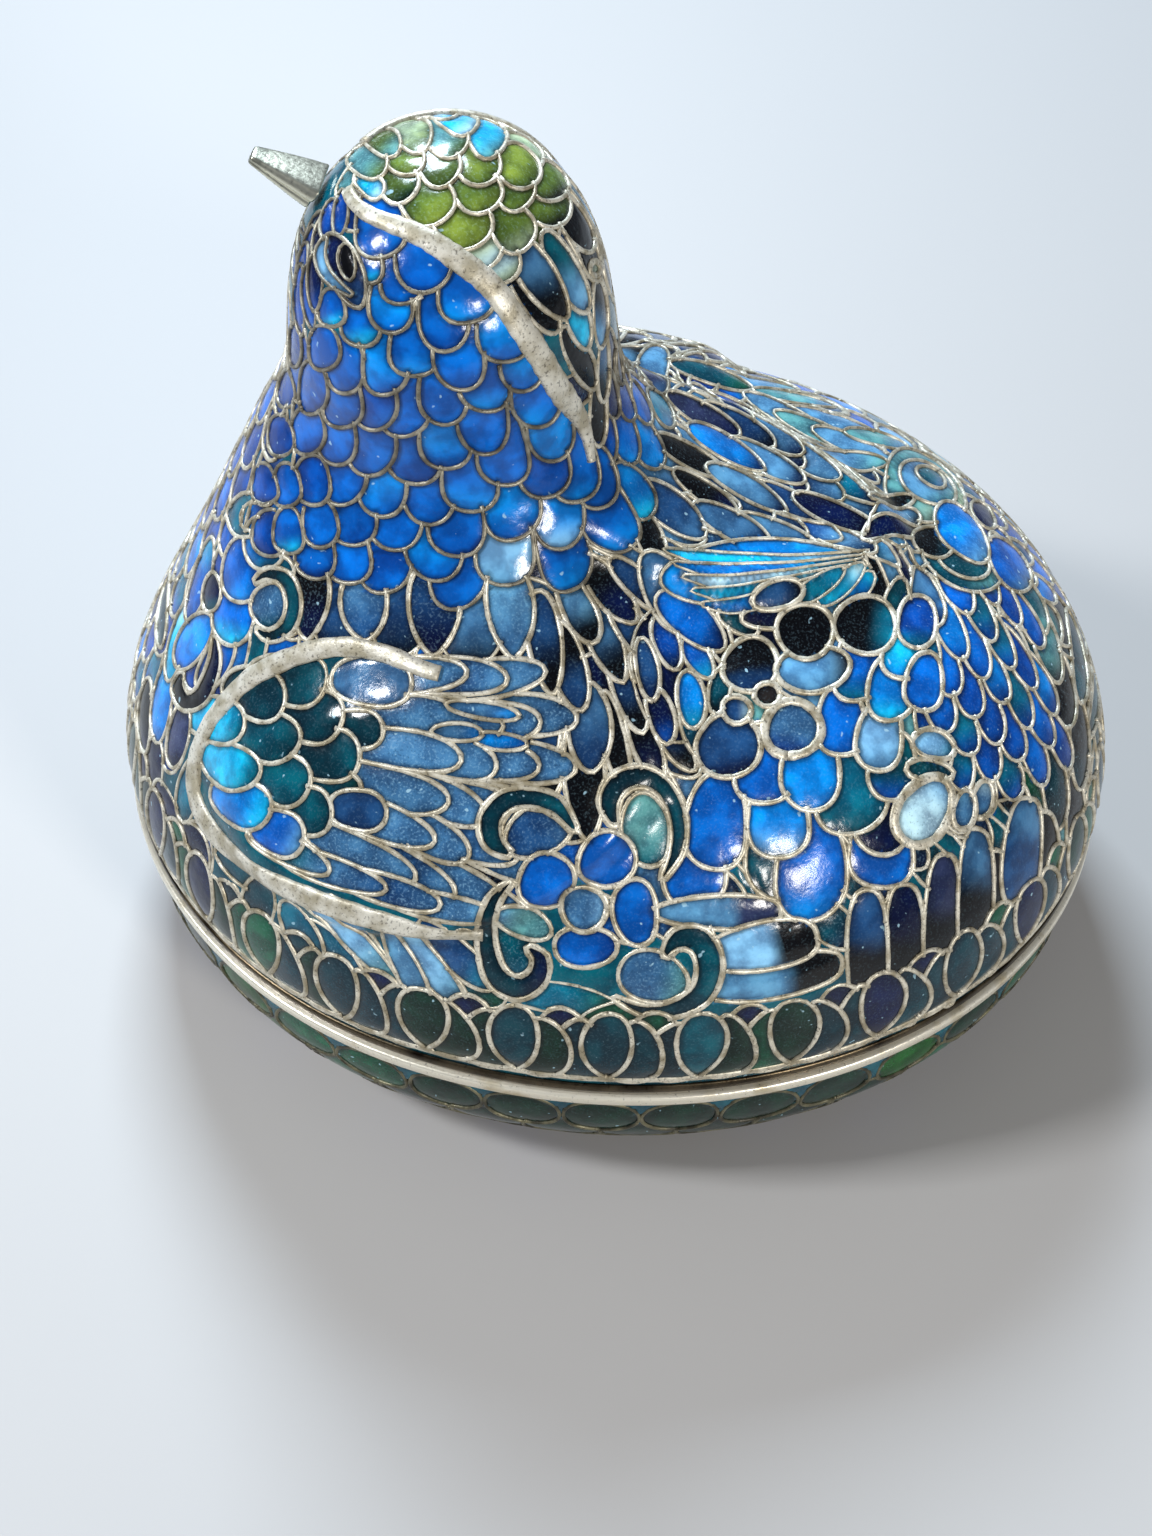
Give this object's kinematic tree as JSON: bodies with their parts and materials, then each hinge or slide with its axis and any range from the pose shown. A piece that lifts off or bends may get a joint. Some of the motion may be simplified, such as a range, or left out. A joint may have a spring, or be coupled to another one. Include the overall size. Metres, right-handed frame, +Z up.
{
  "type": "enamel quail box",
  "caption": "Oval trinket box shaped as a sitting quail: wire-celled translucent enamel bird as a lift-off hollow lid on a shallow enamel bowl with a bright metal rim and locating flange.",
  "frame": {"origin": "centre of the flat underside of the base bowl", "axes": "+Z up, the bird's beak towards -X and its tail towards +X, its left side towards -Y; the XZ plane is the plane of symmetry of the form"},
  "size_m": [0.1075, 0.0926, 0.094],
  "materials": {
    "bird_enamel": "glossy cloudy translucent enamel in small wire cells: cobalt, teal, grey-blue, black and olive green",
    "bowl_enamel": "glossy dark green enamel in oval wire cells",
    "cell_wire": "worn cream and grey gilt wire, slightly granular",
    "bright_rim": "polished pale gilt",
    "aged_rim": "darkened brownish gilt with brighter edges",
    "beak_metal": "pale grey gilt plate with bright edges"
  },
  "bodies": {
    "root": {"base_bowl": "bowl_enamel", "base_rim": "bright_rim", "lid_shell": "bird_enamel", "lid_rim": "aged_rim", "beak": "beak_metal"}
  },
  "joints": []
}
